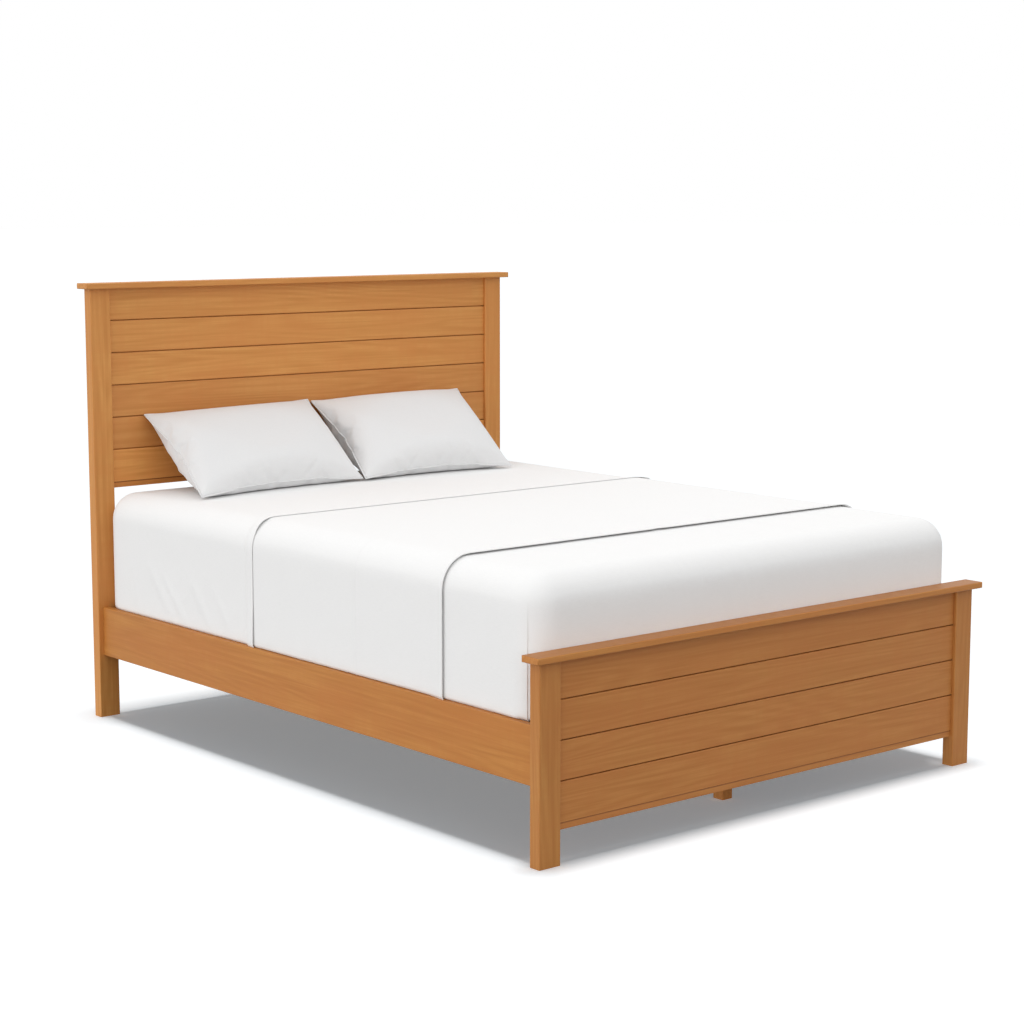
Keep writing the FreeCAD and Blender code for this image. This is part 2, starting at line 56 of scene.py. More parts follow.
# Light: an even pale sky, a lamp high overhead that draws the bed's shadow on the floor, and
# two broad lamps for the bed alone, a dome all round it and a soft one from low on the left,
# as a pale floor would throw it back
sky_strength = 0.19
floor_lamp_strength = 2.15
floor_lamp_spread = math.radians(12)
dome_strength = 2.82
dome_spread = math.radians(178)
left_strength = 0.92
left_spread = math.radians(80)
left_tilt = math.radians(100)
left_turn = math.radians(-90)
# The floor: its colour to the eye, the grey that it throws back at the bed, and a faint glow
floor_size = 200.0
floor_seen = (0.955, 0.985, 1.0, 1)
floor_bounced = (0.20, 0.20, 0.20, 1)
floor_glow = 0.214
floor_glow_colour = (0.86, 0.93, 1.0, 1)

# Woods
honey_light = (0.640, 0.270, 0.066, 1)
honey_dark = (0.520, 0.190, 0.040, 1)
honey_red = (0.580, 0.200, 0.046, 1)
# Painted light and shade in the tone of some boards, in red, green and blue: the head boards
# painted lighter for the light that the bedding throws on them, the head planks behind the
# pillows given their own painted light against the pillows' shade, and the foot boards, foot cap
# and side rails painted darker for the weaker light on them
BOARD_PAINTED_LIGHT = (
    ("head_bottom", (1.00, 1.00, 1.00)),
    ("head_plank_4", (1.03, 1.14, 1.33)),
    ("head_plank_5", (1.06, 1.18, 1.40)),
    ("head_plank_6", (1.24, 1.39, 1.60)),
    ("head_", (1.10, 1.23, 1.40)),
    ("foot_cap", (0.92, 0.96, 1.00)),
    ("foot_post", (0.84, 0.90, 0.96)),
    ("foot_", (0.87, 0.90, 0.98)),
    ("side_rail", (0.86, 0.87, 0.76)),
)
# Painted shade within a small depth of a board's upper face, its colour and how much of it
# shows: a painted shadow line in the joint over a bottom rail, and painted shade on a cap's flat
# top
UPPER_PAINTED_SHADE = {
    "bottom_rail": (0.004, (0.200, 0.066, 0.014, 1), 0.8),
    "foot_cap": (0.0012, (0.340, 0.130, 0.030, 1), 0.6),
}
pale_light = (0.700, 0.480, 0.255, 1)
pale_dark = (0.560, 0.345, 0.165, 1)
pale_red = (0.600, 0.360, 0.180, 1)
honey_roughness = 0.48
pale_roughness = 0.62
wood_gloss = 0.3
# How a position is turned so that the grain runs along its X
GRAINS = {
    "across": (0, 0, 0),
    "along": (0, 0, math.radians(-90)),
    "upright": (0, math.radians(90), 0),
}
# The figure of the wood: how fine each feature is along and across the grain, how much of it
# shows, and how far apart in the tree two boards were cut
ring_scale = (0.6, 8.5, 8.5)
ring_count = 110.0
ring_share = 0.10
streak_scale = (2.2, 105.0, 105.0)
blotch_scale = (3.2, 9.0, 9.0)
blotch_share = 0.75
curl_scale = (48.0, 7.0, 7.0)
curl_share = 0.35
fibre_scale = (14.0, 700.0, 700.0)
fibre_depth = 0.00012
board_distance = (2.17, 0.61, 0.37)
# Between which values each feature comes in, and from how little to how much
figure_shown = (0.30, 0.70, 0.0, 1.0)
blotch_shown = (0.4, 0.75, 0.0, 0.75)
fibre_shown = (0.3, 0.7, 0.0, 0.45)
# The edges that sanding leaves on the show wood
board_edge = 0.0012
sharp_angle = math.radians(40)
board_shading = 50

# Cloths and steel
cloth_white = (0.890, 0.888, 0.884, 1)
pillow_white = (0.775, 0.775, 0.777, 1)
ticking_pale = (0.760, 0.745, 0.710, 1)
ticking_stripe = (0.420, 0.450, 0.520, 1)
stripe_rate = 260.0
stripe_shown = (0.82, 0.9, 0.0, 0.8)
thread_shown = (0.7, 1.3, 0.0, 1.0)
thread_shade = 0.965
thread_depth = 0.0003
cloth_roughness = 0.92
ticking_roughness = 0.9
cloth_gloss = 0.25
cloth_rumple = 0.0025
pillow_rumple = 0.003
cloth_shading = 60
steel_grey = (0.560, 0.570, 0.590, 1)
steel_roughness = 0.38
steel_cloud = (0.3, 0.7, 0.30, 0.46)

# Bedding: how far the outer face of each layer stands out from the mattress, and the outer
# face of its tucked drop from the foundation
LAYERS = {
    "bottom_sheet": (0.0018, 0.0024),
    "top_sheet": (0.0036, 0.0048),
    "cover": (0.0046, 0.0058),
    "band": (0.0071, 0.0058),
}
sheet_thickness = 0.0015
cover_thickness = 0.0025
band_thickness = cover_thickness - 0.0002
corner_radius = 0.076
border_radius = 0.076
rounding_segments = 10
rail_clearance = 0.0003
tuck_shortening = 0.015
hem_drop = 0.046
hem_trim = 0.001
cloth_step = 0.012

# Places along the bed: the top sheet's edge, the cover's fold under it, the pressed crease,
# the cover's free edge and the flaps of the cover's corners
sheet_edge_place = 0.218
cover_fold_place = 0.233
crease_place = -0.280
free_edge_place = -0.6535
corner_flap_place = -0.966

# The top sheet's lap over the fold: where it starts to rise, how far and over what length, and
# how far its edge runs on towards the foot down the sides
lap_start = cover_fold_place + 0.002
lap_lift = 0.0053
lap_slope = 0.020
lap_run = 0.013
# How far its edge stands off: everywhere, low on the sides and at the round bend beside the top
edge_reach = 0.05
edge_lift = 0.0007
low_edge_lift = 0.0030
low_edge_height = 0.16
bend_edge_lift = 0.0060
bend_edge_place = 0.690
bend_edge_reach = 0.022
sheet_hem_radius = 0.0009
rail_ease = 0.004
side_start = 0.70
side_ease = 0.04

# The cover's pressed crease, its corner flaps and its free edge
crease_height = 0.0012
crease_width = 0.0025
crease_start = 0.66
crease_ease = 0.05
corner_flap_lift = 0.0030
corner_flap_step = 0.0012
corner_flap_fade = 0.12
corner_flap_reach = 0.735
corner_flap_ease = 0.006
corner_flap_top = 0.640
side_face_place = 0.74
foot_face_place = -0.999
rail_gap = 0.002
hem_radius = 0.0016
hem_lift = 0.0052
hem_reach = 0.045

# Soft folds of the cloth: where each starts and ends, its width and its height
COVER_FOLDS = (
    ((0.024, -0.095, 0.708), (0.119, -0.147, 0.708), 0.012, 0.0010),
    ((-0.141, -0.355, 0.708), (0.016, -0.524, 0.708), 0.014, 0.0014),
    ((0.030, -0.530, 0.708), (0.150, -0.600, 0.708), 0.014, 0.0010),
    ((0.232, -0.011, 0.708), (0.381, -0.223, 0.708), 0.016, 0.0008),
    ((0.144, -0.305, 0.708), (0.440, -0.415, 0.708), 0.018, 0.0008),
    ((-0.051, -0.639, 0.708), (-0.028, -0.646, 0.708), 0.012, 0.0025),
    ((-0.333, -0.142, 0.708), (-0.200, -0.260, 0.708), 0.016, 0.0008),
    ((-0.162, -0.876, 0.705), (-0.124, -0.973, 0.690), 0.014, 0.0014),
    ((-0.068, -0.844, 0.705), (-0.020, -0.960, 0.694), 0.013, 0.0012),
    ((0.024, -0.875, 0.705), (0.075, -0.985, 0.680), 0.014, 0.0012),
    ((-0.142, -1.010, 0.672), (-0.129, -1.010, 0.545), 0.012, 0.0020),
    ((-0.087, -1.010, 0.680), (-0.067, -1.010, 0.540), 0.011, 0.0022),
    ((-0.024, -1.010, 0.655), (-0.011, -1.010, 0.545), 0.011, 0.0018),
    ((0.207, -1.010, 0.610), (0.240, -1.010, 0.530), 0.013, 0.0014),
    ((0.298, -1.010, 0.600), (0.315, -1.010, 0.530), 0.013, 0.0012),
    ((-0.778, -0.004, 0.400), (-0.778, -0.017, 0.340), 0.010, 0.0012),
    ((-0.778, -0.090, 0.410), (-0.778, -0.103, 0.340), 0.010, 0.0010),
    ((-0.778, -0.160, 0.440), (-0.778, -0.173, 0.340), 0.010, 0.0014),
)
SHEET_FOLDS = (
    ((-0.778, 0.783, 0.520), (-0.778, 0.640, 0.360), 0.014, 0.0024),
    ((-0.778, 0.709, 0.510), (-0.778, 0.560, 0.350), 0.013, 0.0026),
    ((-0.778, 0.552, 0.510), (-0.778, 0.420, 0.350), 0.014, 0.0024),
    ((-0.778, 0.433, 0.500), (-0.778, 0.310, 0.350), 0.013, 0.0020),
    ((-0.778, 0.890, 0.560), (-0.778, 0.830, 0.350), 0.016, 0.0016),
    ((0.778, 0.740, 0.520), (0.778, 0.600, 0.360), 0.014, 0.0024),
    ((0.778, 0.520, 0.500), (0.778, 0.400, 0.350), 0.014, 0.0020),
)

# Mattress and foundation: the tape that binds their borders, the quilting and the roundings
tape_radius = 0.0035
tape_inset = 0.0045
tape_pinch = 0.014
lower_tape_height = 0.022
quilt_spacing = 0.16
quilt_depth = 0.004
foundation_corner = 0.059
foundation_border = 0.010
pad_step = 0.014

# How near counts as on a line, as on a tape's line, as one point and as one point of a seam
on_line = 1e-5
on_tape_line = 2e-4
same_point = 1e-6
same_seam_point = 1e-4

# Pillows: the size of the flat case, its net of faces and how it is blown up
case_size = (0.70, 0.48, 1.0)
case_columns = 70
case_rows = 48
case_depth = 0.006
case_pressure = 4.0
case_frames = 13
# How much of its draw each seam keeps, how high the pillow stands and how full it is, and how
# steeply its front may rise from the upper, right and left seams
seam_draw_shares = {"side": 0.66, "lower": 0.75, "upper": 0.45}
pillow_crown = 0.082
pillow_fullness = 1.15
upper_slopes = {"left": 0.80, "right": 1.16}
right_slope = 1.05
left_slope = 1.60
# How the lower seam stands off the sheet in its middle, with a narrow gap behind it
lower_seam_lift = 0.003
lower_gap_height = 0.006
lower_gap_depth = 0.06
pillow_clearance = 0.0006
headboard_clearance = 0.0005
piping_radius = 0.0024
# Where each pillow's corners lie: lower left, lower right, upper left and upper right, as seen
# from the foot
pillow_tips = {
    "left": ((-0.655, 0.663, 0.714), (-0.015, 0.728, 0.714),
             (-0.626, 1.034, 0.932), (-0.013, 1.034, 0.944)),
    "right": ((-0.012, 0.716, 0.714), (0.570, 0.691, 0.714),
              (0.002, 1.034, 0.938), (0.614, 1.034, 0.945)),
}


def select_only(piece):
    """Selects one piece and nothing else."""
    bpy.ops.object.select_all(action="DESELECT")
    piece.select_set(True)
    bpy.context.view_layer.objects.active = piece


def start_editing(piece):
    """Opens one piece for editing, with nothing in it selected."""
    select_only(piece)
    bpy.ops.object.mode_set(mode="EDIT")
    bpy.ops.mesh.select_all(action="DESELECT")


def resume_editing(piece):
    """Opens one piece for editing again, with the same things picked as when it was closed."""
    select_only(piece)
    bpy.ops.object.mode_set(mode="EDIT")


def stop_editing():
    """Closes the piece that is open for editing."""
    bpy.ops.object.mode_set(mode="OBJECT")


def pick_edges(piece, wanted):
    """Selects the edges whose two ends pass a test."""
    bpy.ops.mesh.select_mode(type="EDGE")
    bpy.ops.mesh.select_all(action="DESELECT")
    form = bmesh.from_edit_mesh(piece.data)
    for edge in form.edges:
        edge.select_set(wanted(edge.verts[0].co, edge.verts[1].co))
    bmesh.update_edit_mesh(piece.data)


def pick_faces(piece, wanted):
    """Selects the faces whose middle and normal pass a test."""
    bpy.ops.mesh.select_mode(type="FACE")
    bpy.ops.mesh.select_all(action="DESELECT")
    form = bmesh.from_edit_mesh(piece.data)
    form.normal_update()
    for face in form.faces:
        face.select_set(wanted(face.calc_center_median(), face.normal))
    bmesh.update_edit_mesh(piece.data)


def block(name, low, high):
    """A block between two corners, with its place in its mesh."""
    bpy.ops.object.select_all(action="DESELECT")
    bpy.ops.mesh.primitive_cube_add(size=1, location=(low + high) / 2)
    piece = bpy.context.object
    piece.name = piece.data.name = name
    piece.scale = high - low
    bpy.ops.object.transform_apply(location=True, rotation=True, scale=True)
    return piece


def rounded_block(name, low, high, corner, border):
    """A block with round upright corners and a rounded top border."""
    piece = block(name, low, high)
    start_editing(piece)
    pick_edges(piece, lambda a, b: abs(a.z - b.z) > border)
    bpy.ops.mesh.bevel(offset=corner, segments=rounding_segments, affect="EDGES")
    pick_edges(piece, lambda a, b: min(a.z, b.z) > high.z - border / 2)
    bpy.ops.mesh.bevel(offset=border, segments=rounding_segments, affect="EDGES")
    stop_editing()
    return piece


def even_mesh(piece, step):
    """Gives the piece an even net of small faces."""
    select_only(piece)
    piece.data.remesh_voxel_size = step
    piece.data.remesh_voxel_adaptivity = 0
    bpy.ops.object.voxel_remesh()
    smooth = piece.modifiers.new("even", "SMOOTH")
    smooth.factor = 0.5
    smooth.iterations = 3
    bpy.ops.object.modifier_apply(modifier=smooth.name)


def cut_off(piece, place, normal):
    """Cuts the piece with a plane and takes off the side that the normal points to."""
    start_editing(piece)
    bpy.ops.mesh.select_all(action="SELECT")
    bpy.ops.mesh.bisect(plane_co=place, plane_no=normal, clear_outer=True)
    stop_editing()


def score(piece, place, normal):
    """Adds a line of edges where a plane meets the piece."""
    start_editing(piece)
    bpy.ops.mesh.select_all(action="SELECT")
    bpy.ops.mesh.bisect(plane_co=place, plane_no=normal)
    stop_editing()


def thicken(piece, thickness):
    """Gives a sheet its thickness, inward from its outer face."""
    select_only(piece)
    wall = piece.modifiers.new("thickness", "SOLIDIFY")
    wall.thickness = thickness
    wall.offset = -1
    wall.use_even_offset = True
    bpy.ops.object.modifier_apply(modifier=wall.name)


def smooth_shaded(piece, angle):
    """Shades a piece smoothly, but for edges that bend more than an angle in degrees."""
    select_only(piece)
    bpy.ops.object.shade_smooth_by_angle(angle=math.radians(angle))


def places(piece):
    """The piece's points as rows of x, y, z."""
    rows = np.empty(len(piece.data.vertices) * 3)
    piece.data.vertices.foreach_get("co", rows)
    return rows.reshape(-1, 3)


def directions(piece):
    """The outward direction at each of the piece's points."""
    rows = np.empty(len(piece.data.vertices) * 3)
    piece.data.vertices.foreach_get("normal", rows)
    return rows.reshape(-1, 3)


def place_points(piece, rows):
    """Moves the piece's points to rows of x, y, z."""
    piece.data.vertices.foreach_set("co", rows.ravel())
    piece.data.update()


def cord_along(piece, radius):
    """A round cord along the edges that are picked in a piece open for editing."""
    bpy.ops.mesh.duplicate()
    bpy.ops.mesh.separate(type="SELECTED")
    stop_editing()
    cord = next(other for other in bpy.context.selected_objects if other != piece)
    select_only(cord)
    cord.data.materials.clear()
    bpy.ops.object.convert(target="CURVE")
    cord.data.bevel_depth = radius
    cord.data.bevel_resolution = 2
    cord.data.use_fill_caps = True
    bpy.ops.object.convert(target="MESH")
    start_editing(cord)
    bpy.ops.mesh.select_all(action="SELECT")
    bpy.ops.mesh.remove_doubles(threshold=same_point)
    stop_editing()
    return cord


def join(pieces):
    """Makes one piece of several and keeps the first one's name."""
    bpy.ops.object.select_all(action="DESELECT")
    for piece in pieces:
        piece.select_set(True)
    bpy.context.view_layer.objects.active = pieces[0]
    bpy.ops.object.join()
    return pieces[0]


# Shader groups


def new_group(name, inputs, outputs):
    """A shader group with named sockets, and its first and last node."""
    group = bpy.data.node_groups.new(name, "ShaderNodeTree")
    for label, kind in inputs:
        group.interface.new_socket(label, in_out="INPUT", socket_type=kind)
    for label, kind in outputs:
        group.interface.new_socket(label, in_out="OUTPUT", socket_type=kind)
    return group, group.nodes.new("NodeGroupInput"), group.nodes.new("NodeGroupOutput")


def add_node(tree, kind, settings=None, values=None):
    """A node with its settings, and plain values in its sockets."""
    node = tree.nodes.new(kind)
    for label, value in (settings or {}).items():
        setattr(node, label, value)
    for label, value in (values or {}).items():
        node.inputs[label].default_value = value
    return node


def stretched_noise(tree, source, scale, detail, roughness=0.5):
    """Noise whose features are drawn out along the grain."""
    mapping = add_node(tree, "ShaderNodeMapping", values={"Scale": scale})
    tree.links.new(source, mapping.inputs["Vector"])
    noise = add_node(tree, "ShaderNodeTexNoise",
                     values={"Scale": 1.0, "Detail": detail, "Roughness": roughness})
    tree.links.new(mapping.outputs["Vector"], noise.inputs["Vector"])
    return noise.outputs["Fac"]


def arithmetic(tree, operation, first, second):
    """A sum, product or other operation on two sockets or numbers."""
    node = add_node(tree, "ShaderNodeMath", {"operation": operation})
    for socket, value in zip(node.inputs, (first, second)):
        if isinstance(value, (int, float)):
            socket.default_value = value
        else:
            tree.links.new(value, socket)
    return node.outputs["Value"]


def wood_figure_group():
    """Cathedral figure, blotches, curl and fibre of a board whose grain runs along X."""
    group, given, put = new_group(
        "wood_figure",
        (("Vector", "NodeSocketVector"), ("Board", "NodeSocketFloat")),
        (("Figure", "NodeSocketFloat"), ("Blotch", "NodeSocketFloat"),
         ("Fibre", "NodeSocketFloat")))
    shift = add_node(group, "ShaderNodeVectorMath", {"operation": "SCALE"})
    shift.inputs[0].default_value = board_distance
    group.links.new(given.outputs["Board"], shift.inputs["Scale"])
    moved = add_node(group, "ShaderNodeVectorMath", {"operation": "ADD"})
    group.links.new(given.outputs["Vector"], moved.inputs[0])
    group.links.new(shift.outputs["Vector"], moved.inputs[1])
    board = moved.outputs["Vector"]
    rings = stretched_noise(group, board, ring_scale, 1.5)
    arches = arithmetic(group, "SINE", arithmetic(group, "MULTIPLY", rings, ring_count), 0.0)
    streaks = stretched_noise(group, board, streak_scale, 3.0, 0.6)
    figure = arithmetic(group, "MULTIPLY_ADD", arches, ring_share)
    group.links.new(streaks, figure.node.inputs[2])
    group.links.new(figure, put.inputs["Figure"])
    blotch = stretched_noise(group, board, blotch_scale, 2.0)
    curl = stretched_noise(group, board, curl_scale, 1.0)
    mixed = arithmetic(group, "MULTIPLY_ADD", curl, curl_share)
    group.links.new(arithmetic(group, "MULTIPLY", blotch, blotch_share), mixed.node.inputs[2])
    group.links.new(mixed, put.inputs["Blotch"])
    fibre = stretched_noise(group, board, fibre_scale, 2.0, 0.6)
    group.links.new(fibre, put.inputs["Fibre"])
    return group


def cloth_group():
    """Soft unevenness and slubby threads of a plain woven cloth."""
    group, given, put = new_group(
        "woven_cloth",
        (("Vector", "NodeSocketVector"),),
        (("Rumple", "NodeSocketFloat"), ("Thread", "NodeSocketFloat")))
    rumple = stretched_noise(group, given.outputs["Vector"], (9.0, 9.0, 9.0), 3.0, 0.45)
    group.links.new(rumple, put.inputs["Rumple"])
    warp = stretched_noise(group, given.outputs["Vector"], (60.0, 900.0, 900.0), 1.0)
    weft = stretched_noise(group, given.outputs["Vector"], (900.0, 60.0, 900.0), 1.0)
    group.links.new(arithmetic(group, "ADD", warp, weft), put.inputs["Thread"])
    return group


WOOD_FIGURE = wood_figure_group()
WOVEN_CLOTH = cloth_group()


# Materials


def new_material(name, roughness, specular=0.5):
    """A material with its shader, and the object's own coordinates."""
    material = bpy.data.materials.new(name)
    material.use_nodes = True
    tree = material.node_tree
    shader = tree.nodes["Principled BSDF"]
    shader.inputs["Roughness"].default_value = roughness
    shader.inputs["Specular IOR Level"].default_value = specular
    coordinates = tree.nodes.new("ShaderNodeTexCoord")
    return material, tree, shader, coordinates.outputs["Object"]


def blend_colours(tree, fac, first, second):
    """A colour between two, each a socket or a plain colour, by a mask."""
    mix = add_node(tree, "ShaderNodeMix", {"data_type": "RGBA"})
    tree.links.new(fac, mix.inputs[0])
    for socket, value in ((mix.inputs[6], first), (mix.inputs[7], second)):
        if isinstance(value, tuple):
            socket.default_value = value
        else:
            tree.links.new(value, socket)
    return mix.outputs[2]


def ranged(tree, value, low, high, to_low, to_high):
    """A value taken from one range to another and kept inside it."""
    node = add_node(tree, "ShaderNodeMapRange",
                    values={"From Min": low, "From Max": high, "To Min": to_low, "To Max": to_high})
    tree.links.new(value, node.inputs["Value"])
    return node.outputs["Result"]


def bumped(tree, shader, height, distance, strength=1.0):
    """Feeds a height to the shader's normal."""
    bump = add_node(tree, "ShaderNodeBump", values={"Strength": strength, "Distance": distance})
    tree.links.new(height, bump.inputs["Height"])
    tree.links.new(bump.outputs["Normal"], shader.inputs["Normal"])


def wood(name, grain, board, colours, roughness, upper=None):
    """A satin wood for one piece, cut from its own part of the tree. Upper is a depth below its
    top that is painted darker as shade, with the painted shade's colour and how much of it shows."""
    material, tree, shader, position = new_material(name, roughness, wood_gloss)
    light, dark, red = colours
    turned = add_node(tree, "ShaderNodeMapping", values={"Rotation": GRAINS[grain]})
    tree.links.new(position, turned.inputs["Vector"])
    figure = add_node(tree, "ShaderNodeGroup", {"node_tree": WOOD_FIGURE})
    figure.inputs["Board"].default_value = board
    tree.links.new(turned.outputs["Vector"], figure.inputs["Vector"])
    tone = ranged(tree, figure.outputs["Figure"], *figure_shown)
    grained = blend_colours(tree, tone, dark, light)
    blotch = ranged(tree, figure.outputs["Blotch"], *blotch_shown)
    warm = blend_colours(tree, blotch, grained, red)
    lined = ranged(tree, figure.outputs["Fibre"], *fibre_shown)
    body = blend_colours(tree, lined, warm, dark)
    # Painted shade just under the top face: a shadow line in a joint, or a darker flat top
    if upper is not None:
        depth, painted_shade, share = upper
        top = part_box(name)[1].z
        parts = add_node(tree, "ShaderNodeSeparateXYZ")
        tree.links.new(position, parts.inputs["Vector"])
        near = ranged(tree, parts.outputs["Z"], top - depth, top - depth / 2, 0, share)
        body = blend_colours(tree, near, body, painted_shade)
    tree.links.new(body, shader.inputs["Base Color"])
    sheen = ranged(tree, figure.outputs["Fibre"], 0.2, 0.8, roughness - 0.06, roughness + 0.08)
    tree.links.new(sheen, shader.inputs["Roughness"])
    bumped(tree, shader, figure.outputs["Fibre"], fibre_depth, 0.5)
    return material


def honey_wood(name, grain, board):
    """The bed's show wood, with painted light and shade: some boards are painted lighter or darker
    for the light that falls on them, and some get painted shade just under their top face.
    """
    upper = next((tone for part, tone in UPPER_PAINTED_SHADE.items() if name.endswith(part)), None)
    tone = next((shares for part, shares in BOARD_PAINTED_LIGHT if name.startswith(part)), (1, 1, 1))
    colours = [tuple(channel * share for channel, share in zip(colour, tone)) + (1,)
               for colour in (honey_light, honey_dark, honey_red)]
    return wood(name, grain, board, colours, honey_roughness, upper)


def pale_wood(name, grain, board):
    """The plain wood that is hidden inside the bed."""
    return wood(name, grain, board, (pale_light, pale_dark, pale_red), pale_roughness)


def cloth(name, colour, rumple):
    """A matt woven cloth with soft unevenness."""
    material, tree, shader, position = new_material(name, cloth_roughness, cloth_gloss)
    shader.inputs["Sheen Weight"].default_value = 0.15
    shader.inputs["Sheen Roughness"].default_value = 0.5
    weave = add_node(tree, "ShaderNodeGroup", {"node_tree": WOVEN_CLOTH})
    tree.links.new(position, weave.inputs["Vector"])
    shade = ranged(tree, weave.outputs["Thread"], *thread_shown)
    deeper = tuple(channel * thread_shade for channel in colour[:3]) + (1,)
    tree.links.new(blend_colours(tree, shade, deeper, colour), shader.inputs["Base Color"])
    fine = add_node(tree, "ShaderNodeBump", values={"Strength": 0.35, "Distance": thread_depth})
    tree.links.new(weave.outputs["Thread"], fine.inputs["Height"])
    broad = add_node(tree, "ShaderNodeBump", values={"Strength": 1.0, "Distance": rumple})
    tree.links.new(weave.outputs["Rumple"], broad.inputs["Height"])
    tree.links.new(fine.outputs["Normal"], broad.inputs["Normal"])
    tree.links.new(broad.outputs["Normal"], shader.inputs["Normal"])
    return material


def ticking(name):
    """A striped mattress ticking, its stripes upright on the borders and slanting on the faces."""
    material, tree, shader, position = new_material(name, ticking_roughness, cloth_gloss)
    weave = add_node(tree, "ShaderNodeGroup", {"node_tree": WOVEN_CLOTH})
    tree.links.new(position, weave.inputs["Vector"])
    parts = add_node(tree, "ShaderNodeSeparateXYZ")
    tree.links.new(position, parts.inputs["Vector"])
    slant = arithmetic(tree, "ADD", parts.outputs["X"], parts.outputs["Y"])
    wave = arithmetic(tree, "SINE", arithmetic(tree, "MULTIPLY", slant, stripe_rate), 0.0)
    stripe = ranged(tree, wave, *stripe_shown)
    striped = blend_colours(tree, stripe, ticking_pale, ticking_stripe)
    tree.links.new(striped, shader.inputs["Base Color"])
    bumped(tree, shader, weave.outputs["Thread"], thread_depth, 0.5)
    return material


def steel(name):
    """Bright zinc-plated steel."""
    material, tree, shader, position = new_material(name, steel_roughness)
    shader.inputs["Metallic"].default_value = 1.0
    shader.inputs["Base Color"].default_value = steel_grey
    cloudy = stretched_noise(tree, position, (120.0, 120.0, 120.0), 3.0)
    tree.links.new(ranged(tree, cloudy, *steel_cloud), shader.inputs["Roughness"])
    bumped(tree, shader, cloudy, 0.00005, 0.4)
    return material


# Hard pieces


def eased_board(node, material):
    """The board of a node with the slightly rounded edges that sanding leaves."""
    bpy.ops.object.select_all(action="DESELECT")
    piece = bpy.data.objects.new(f"{node}_board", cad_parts[node].data.copy())
    bpy.context.collection.objects.link(piece)
    start_editing(piece)
    bpy.ops.mesh.select_all(action="SELECT")
    bpy.ops.mesh.remove_doubles(threshold=same_point)
    bpy.ops.mesh.dissolve_limited(angle_limit=math.radians(1))
    stop_editing()
    edges = piece.modifiers.new("sanded", "BEVEL")
    edges.width = board_edge
    edges.segments = 2
    edges.limit_method = "ANGLE"
    edges.angle_limit = sharp_angle
    bpy.ops.object.modifier_apply(modifier=edges.name)
    smooth_shaded(piece, board_shading)
    flat = piece.modifiers.new("flat_faces", "WEIGHTED_NORMAL")
    flat.keep_sharp = True
    bpy.ops.object.modifier_apply(modifier=flat.name)
    piece.data.materials.clear()
    piece.data.materials.append(material)
    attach(piece, "frame")
    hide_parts(node)


def dress(node, material):
    """Gives a piece of the frame its material."""
    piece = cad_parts[node]
    piece.data.materials.clear()
    piece.data.materials.append(material)


def dress_hard_pieces():
    """Gives every wooden and steel piece its finish, and the show wood its eased edges."""
    for board, node in enumerate(sorted(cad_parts), start=1):
        if node.endswith(("_screws", "_bolts", "_plates", "_hangers")):
            dress(node, STEEL)
        elif node.startswith(("head_post", "foot_post", "centre_leg")):
            eased_board(node, honey_wood(node, "upright", board))
        elif node.startswith("side_rail"):
            eased_board(node, honey_wood(node, "along", board))
        elif "_plank_" in node or node.endswith(("_cap", "_bottom_rail")):
            eased_board(node, honey_wood(node, "across", board))
        elif node.startswith("ledger_") or node == "centre_beam":
            dress(node, pale_wood(node, "along", board))
        elif node.startswith("slat_") or node == "head_stretcher":
            dress(node, pale_wood(node, "across", board))
        elif "_batten" in node or node == "cap_dowels":
            dress(node, pale_wood(node, "upright", board))


# Bedding


def bedding_form(name, layer):
    """A solid with the outline of one layer over the mattress, and its tucked drop below."""
    growth, hem = LAYERS[layer]
    low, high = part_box("mattress")
    tuck_low, tuck_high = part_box("foundation")
    low = Vector((low.x - growth, low.y - growth, rail_top + rail_clearance))
    high = high + Vector((growth, growth, growth))
    piece = rounded_block(name, low, high, corner_radius + growth, border_radius + growth)
    start_editing(piece)
    pick_faces(piece, lambda middle, normal: normal.z < -0.9)
    bpy.ops.mesh.extrude_region_move()
    share = (tuck_high.x - tuck_low.x + 2 * hem) / (high.x - low.x)
    along = (high.y - low.y - tuck_shortening) / (high.y - low.y)
    bpy.ops.transform.resize(value=(share, along, 1))
    bpy.ops.mesh.extrude_region_move(TRANSFORM_OT_translate={"value": (0, 0, -hem_drop)})
    stop_editing()
    even_mesh(piece, cloth_step)
    return piece


def trim_hem(piece, height):
    """Cuts a cloth off level, just above a height."""
    cut_off(piece, (0, 0, height + hem_trim), (0, 0, -1))


def score_along(piece, places_along):
    """Adds lines of edges across the bed, to hold a sharp bend of the cloth."""
    for place in places_along:
        score(piece, (0, place, 0), (0, 1, 0))


def cut_end(piece, place, normal):
    """Cuts a layer off across the bed and leaves its new edge picked."""
    cut_off(piece, (0, place, 0), (0, normal, 0))
    start_editing(piece)
    pick_edges(piece, lambda a, b: max(abs(a.y - place), abs(b.y - place)) < on_line)


def eased_step(value):
    """A share that rises from 0 to 1 with soft ends."""
    share = np.clip(value, 0, 1)
    return share * share * (3 - 2 * share)


def past_side(rows, start, ease):
    """A share that rises to 1 where a point lies farther out than a place across the bed."""
    return eased_step((np.abs(rows[:, 0]) - start) / ease)


def raise_folds(piece, folds):
    """Raises soft folds of the cloth along lines between two places."""
    rows = places(piece)
    rise = np.zeros(len(rows))
    for start, end, width, height in folds:
        start, end = np.array(start), np.array(end)
        along = np.clip((rows - start) @ (end - start) / ((end - start) @ (end - start)), 0, 1)
        away = np.linalg.norm(rows - start - along[:, None] * (end - start), axis=1)
        tapered = np.sqrt(np.sin(np.pi * np.clip(along, 0.02, 0.98)))
        rise += height * np.exp(-(away / width) ** 2) * tapered
    place_points(piece, rows + directions(piece) * rise[:, None])


def make_bottom_sheet():
    """The bottom sheet over the whole mattress."""
    piece = bedding_form("bottom_sheet_cloth", "bottom_sheet")
    trim_hem(piece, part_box("bottom_sheet")[0].z)
    thicken(piece, sheet_thickness)
    finish_soft(piece, "bottom_sheet", "mattress", SHEETING)


